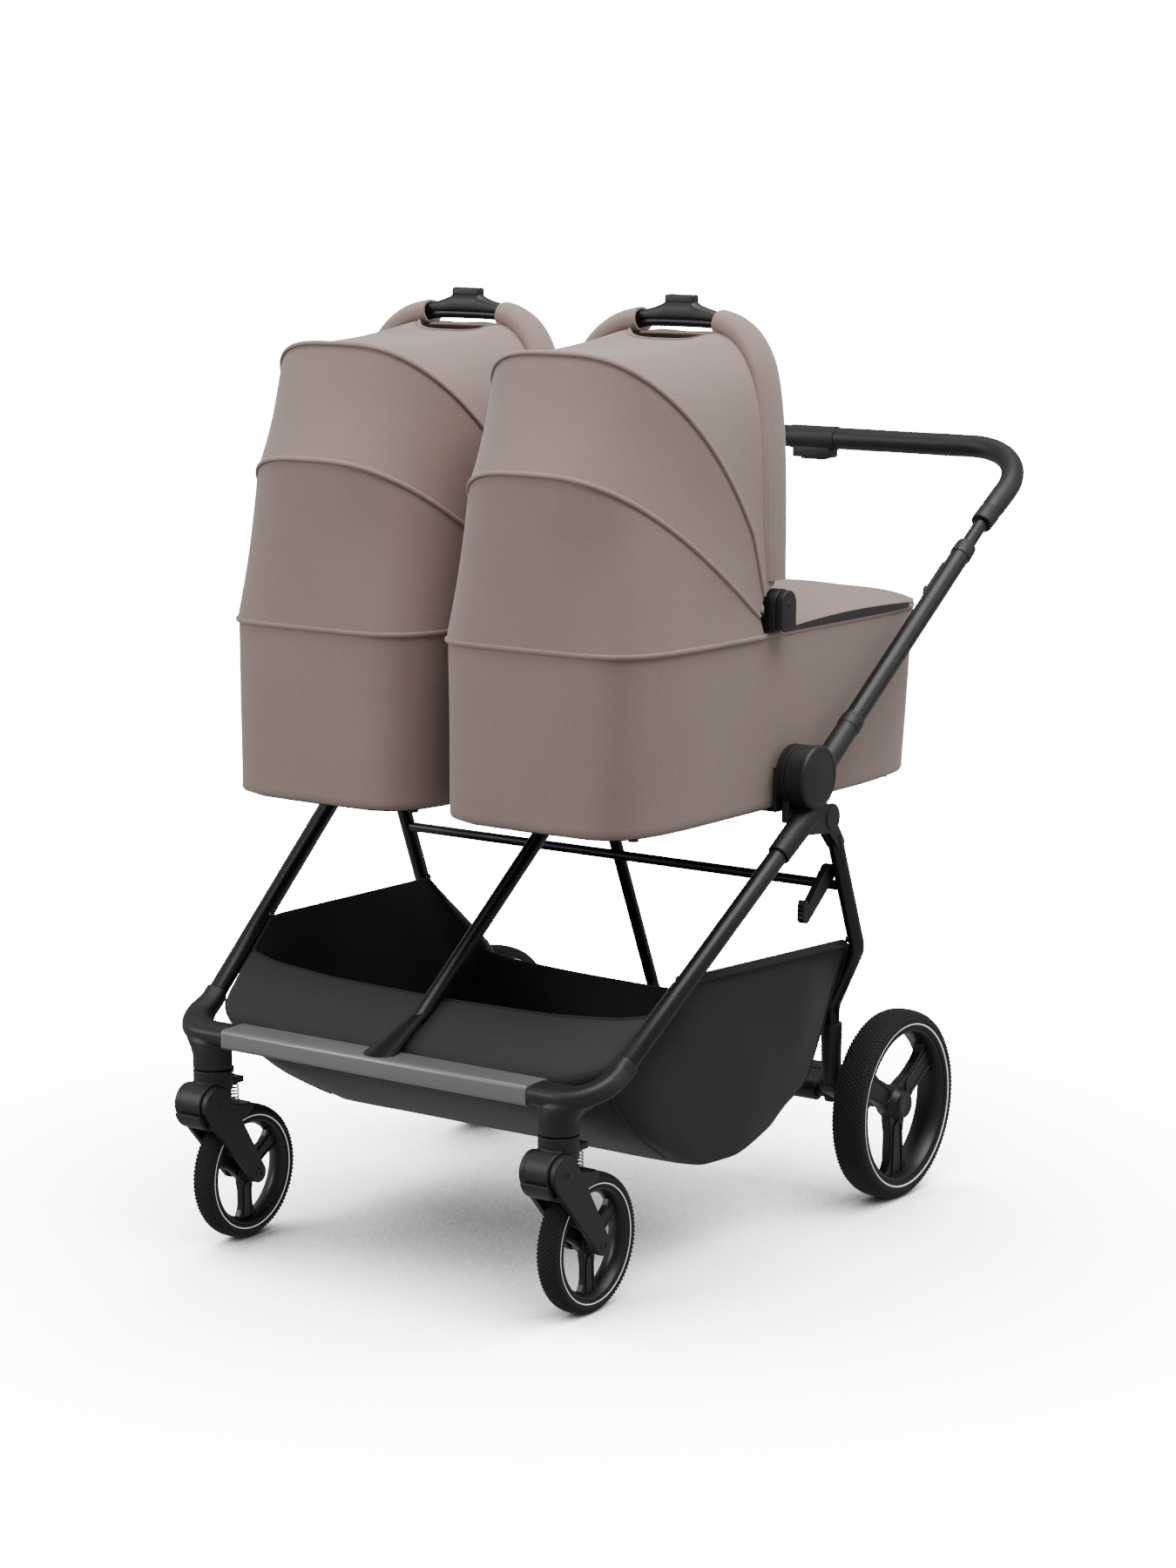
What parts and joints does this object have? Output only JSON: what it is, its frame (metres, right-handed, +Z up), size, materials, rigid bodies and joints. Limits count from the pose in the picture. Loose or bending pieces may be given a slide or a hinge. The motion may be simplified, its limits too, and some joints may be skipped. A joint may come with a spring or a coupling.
{
  "type": "twin pushchair with carrycots",
  "caption": "Side-by-side folding pushchair: black tube chassis, sprung front castors, large rear wheels, telescoping handle, fabric basket and lift-off carrycots with arched hoods.",
  "frame": {"origin": "centre of the bounding box at floor level, under the pushchair", "axes": "+Z up; the front castors face -Y and the handle is on the +Y side; +X runs across the pushchair, to the right of someone who looks along +Y"},
  "size_m": [0.8, 1.1495, 1.2818],
  "materials": {
    "frame_tube": "satin black powder coat",
    "front_trim": "satin dark grey anodised",
    "plastic": "fine matt black",
    "tyre": "matt rubber with a fine tread",
    "cot_fabric": "woven taupe melange",
    "basket_fabric": "black woven fabric",
    "grip": "stitched dark leatherette",
    "spring_steel": "bright wire"
  },
  "bodies": {
    "chassis": {"front_bar": "front_trim", "corner_left": "plastic", "corner_right": "plastic", "front_leg_left": "frame_tube", "front_leg_middle": "frame_tube", "front_leg_right": "frame_tube", "hub_left": "plastic", "hub_middle": "plastic", "hub_right": "plastic", "basket": "basket_fabric"},
    "rear_frame": {"rear_leg_left": "frame_tube", "rear_leg_middle": "frame_tube", "rear_leg_right": "frame_tube", "cross_tube": "frame_tube", "rear_axle": "frame_tube"},
    "brake": {"brake_pedal": "plastic"},
    "latch": {"fold_latch": "plastic"},
    "handle_arms": {"handle_arm_left": "frame_tube", "handle_arm_right": "frame_tube"},
    "handle": {"handle_bar": "frame_tube", "handle_grip": "grip"},
    "trigger": {"fold_trigger": "plastic"},
    "rear_wheel_left": {"rear_rim_left": "plastic", "rear_tyre_left": "tyre"},
    "castor_left": {"castor_swivel_left": "plastic", "castor_spring_left": "spring_steel"},
    "lock_left": {"swivel_lock_left": "plastic"},
    "fork_left": {"castor_fork_left": "plastic"},
    "front_wheel_left": {"front_rim_left": "plastic", "front_tyre_left": "tyre"},
    "lever_left": {"height_lever_left": "plastic"},
    "cot_left": {"cot_tub_left": "cot_fabric", "cot_base_left": "plastic", "cot_apron_left": "cot_fabric", "hood_front_panel_left": "cot_fabric"},
    "hood_front_left": {"hood_front_rib_left": "plastic", "hood_middle_panel_left": "cot_fabric"},
    "hood_middle_left": {"hood_middle_rib_left": "plastic", "hood_rear_panel_left": "cot_fabric"},
    "hoop_left": {"carry_hoop_left": "plastic"},
    "button_left": {"grip_button_left": "plastic"},
    "rear_wheel_right": {"rear_rim_right": "plastic", "rear_tyre_right": "tyre"},
    "castor_right": {"castor_swivel_right": "plastic", "castor_spring_right": "spring_steel"},
    "lock_right": {"swivel_lock_right": "plastic"},
    "fork_right": {"castor_fork_right": "plastic"},
    "front_wheel_right": {"front_rim_right": "plastic", "front_tyre_right": "tyre"},
    "lever_right": {"height_lever_right": "plastic"},
    "cot_right": {"cot_tub_right": "cot_fabric", "cot_base_right": "plastic", "cot_apron_right": "cot_fabric", "hood_front_panel_right": "cot_fabric"},
    "hood_front_right": {"hood_front_rib_right": "plastic", "hood_middle_panel_right": "cot_fabric"},
    "hood_middle_right": {"hood_middle_rib_right": "plastic", "hood_rear_panel_right": "cot_fabric"},
    "hoop_right": {"carry_hoop_right": "plastic"},
    "button_right": {"grip_button_right": "plastic"}
  },
  "joints": [
    {"name": "handle_fold", "type": "hinge", "parent": "chassis", "child": "handle_arms", "pos_m": [0, -0.0747, 0.652], "axis": [1, 0, 0], "range_deg": [0, 170]},
    {"name": "rear_fold", "type": "hinge", "parent": "chassis", "child": "rear_frame", "pos_m": [0, -0.0267, 0.588], "axis": [1, 0, 0], "range_deg": [-40.1, 0], "deforming": ["basket"]},
    {"name": "brake_press", "type": "hinge", "parent": "rear_frame", "child": "brake", "pos_m": [0.205, 0.2033, 0.135], "axis": [1, 0, 0], "range_deg": [-20, 0]},
    {"name": "latch_swing", "type": "hinge", "parent": "rear_frame", "child": "latch", "pos_m": [0.3633, 0.01429, 0.503], "axis": [1, 0, 0], "range_deg": [-30, 0]},
    {"name": "handle_height", "type": "slide", "parent": "handle_arms", "child": "handle", "axis": [0, 0.832, 0.5548], "range_m": [-0.046, 0.06]},
    {"name": "fold_trigger_press", "type": "slide", "parent": "handle", "child": "trigger", "axis": [0, 0, 1], "range_m": [0, 0.004], "stiffness_N_per_m": 300, "springref_m": -0.003},
    {"name": "rear_wheel_spin_left", "type": "hinge", "parent": "rear_frame", "child": "rear_wheel_left", "pos_m": [-0.35425, 0.2033, 0.135], "axis": [1, 0, 0], "continuous": true},
    {"name": "castor_swivel_left", "type": "hinge", "parent": "chassis", "child": "castor_left", "pos_m": [-0.287, -0.5197, 0.252], "axis": [0, 0, 1], "continuous": true},
    {"name": "swivel_lock_left", "type": "slide", "parent": "castor_left", "child": "lock_left", "axis": [0, 0, 1], "range_m": [0, 0.004]},
    {"name": "fork_travel_left", "type": "hinge", "parent": "castor_left", "child": "fork_left", "pos_m": [-0.287, -0.5417, 0.206], "axis": [1, 0, 0], "range_deg": [0, 6], "stiffness_Nm_per_rad": 60, "springref_deg": -5.73, "deforming": ["castor_spring_left"]},
    {"name": "front_wheel_spin_left", "type": "hinge", "parent": "fork_left", "child": "front_wheel_left", "pos_m": [-0.287, -0.4597, 0.093], "axis": [1, 0, 0], "continuous": true},
    {"name": "height_lever_left", "type": "slide", "parent": "handle_arms", "child": "lever_left", "axis": [-1, 0, 0], "range_m": [0, 0.0026], "stiffness_N_per_m": 300, "springref_m": -0.002},
    {"name": "cot_lift_left", "type": "slide", "parent": "chassis", "child": "cot_left", "axis": [0, 0, 1], "range_m": [0, 0.12]},
    {"name": "hood_front_fold_left", "type": "hinge", "parent": "cot_left", "child": "hood_front_left", "pos_m": [-0.177, -0.10667, 0.88516], "axis": [1, 0, 0], "range_deg": [0, 22.1], "deforming": ["hood_front_panel_left"]},
    {"name": "hood_middle_fold_left", "type": "hinge", "parent": "hood_front_left", "child": "hood_middle_left", "pos_m": [-0.177, -0.10667, 0.88516], "axis": [1, 0, 0], "range_deg": [0, 13.1], "deforming": ["hood_middle_panel_left"]},
    {"name": "hood_fold_left", "type": "hinge", "parent": "hood_middle_left", "child": "hoop_left", "pos_m": [-0.177, -0.10667, 0.88516], "axis": [1, 0, 0], "range_deg": [0, 37], "deforming": ["hood_rear_panel_left"]},
    {"name": "grip_button_left", "type": "slide", "parent": "hoop_left", "child": "button_left", "axis": [0, -0.0192, -0.9998], "range_m": [0, 0.004], "stiffness_N_per_m": 300, "springref_m": -0.003},
    {"name": "rear_wheel_spin_right", "type": "hinge", "parent": "rear_frame", "child": "rear_wheel_right", "pos_m": [0.35425, 0.2033, 0.135], "axis": [1, 0, 0], "continuous": true},
    {"name": "castor_swivel_right", "type": "hinge", "parent": "chassis", "child": "castor_right", "pos_m": [0.287, -0.5197, 0.252], "axis": [0, 0, 1], "continuous": true},
    {"name": "swivel_lock_right", "type": "slide", "parent": "castor_right", "child": "lock_right", "axis": [0, 0, 1], "range_m": [0, 0.004]},
    {"name": "fork_travel_right", "type": "hinge", "parent": "castor_right", "child": "fork_right", "pos_m": [0.287, -0.5417, 0.206], "axis": [1, 0, 0], "range_deg": [0, 6], "stiffness_Nm_per_rad": 60, "springref_deg": -5.73, "deforming": ["castor_spring_right"]},
    {"name": "front_wheel_spin_right", "type": "hinge", "parent": "fork_right", "child": "front_wheel_right", "pos_m": [0.287, -0.4597, 0.093], "axis": [1, 0, 0], "continuous": true},
    {"name": "height_lever_right", "type": "slide", "parent": "handle_arms", "child": "lever_right", "axis": [1, 0, 0], "range_m": [0, 0.0026], "stiffness_N_per_m": 300, "springref_m": -0.002},
    {"name": "cot_lift_right", "type": "slide", "parent": "chassis", "child": "cot_right", "axis": [0, 0, 1], "range_m": [0, 0.12]},
    {"name": "hood_front_fold_right", "type": "hinge", "parent": "cot_right", "child": "hood_front_right", "pos_m": [0.177, -0.10667, 0.88516], "axis": [1, 0, 0], "range_deg": [0, 22.1], "deforming": ["hood_front_panel_right"]},
    {"name": "hood_middle_fold_right", "type": "hinge", "parent": "hood_front_right", "child": "hood_middle_right", "pos_m": [0.177, -0.10667, 0.88516], "axis": [1, 0, 0], "range_deg": [0, 13.1], "deforming": ["hood_middle_panel_right"]},
    {"name": "hood_fold_right", "type": "hinge", "parent": "hood_middle_right", "child": "hoop_right", "pos_m": [0.177, -0.10667, 0.88516], "axis": [1, 0, 0], "range_deg": [0, 37], "deforming": ["hood_rear_panel_right"]},
    {"name": "grip_button_right", "type": "slide", "parent": "hoop_right", "child": "button_right", "axis": [0, -0.0192, -0.9998], "range_m": [0, 0.004], "stiffness_N_per_m": 300, "springref_m": -0.003}
  ],
  "couplings": [
    {"joint": "rear_fold", "follows": "handle_fold", "ratio": -0.2353},
    {"joint": "hood_front_fold_left", "follows": "hood_fold_left", "ratio": 0.595},
    {"joint": "hood_middle_fold_left", "follows": "hood_fold_left", "ratio": 0.352},
    {"joint": "hood_front_fold_right", "follows": "hood_fold_right", "ratio": 0.595},
    {"joint": "hood_middle_fold_right", "follows": "hood_fold_right", "ratio": 0.352}
  ]
}
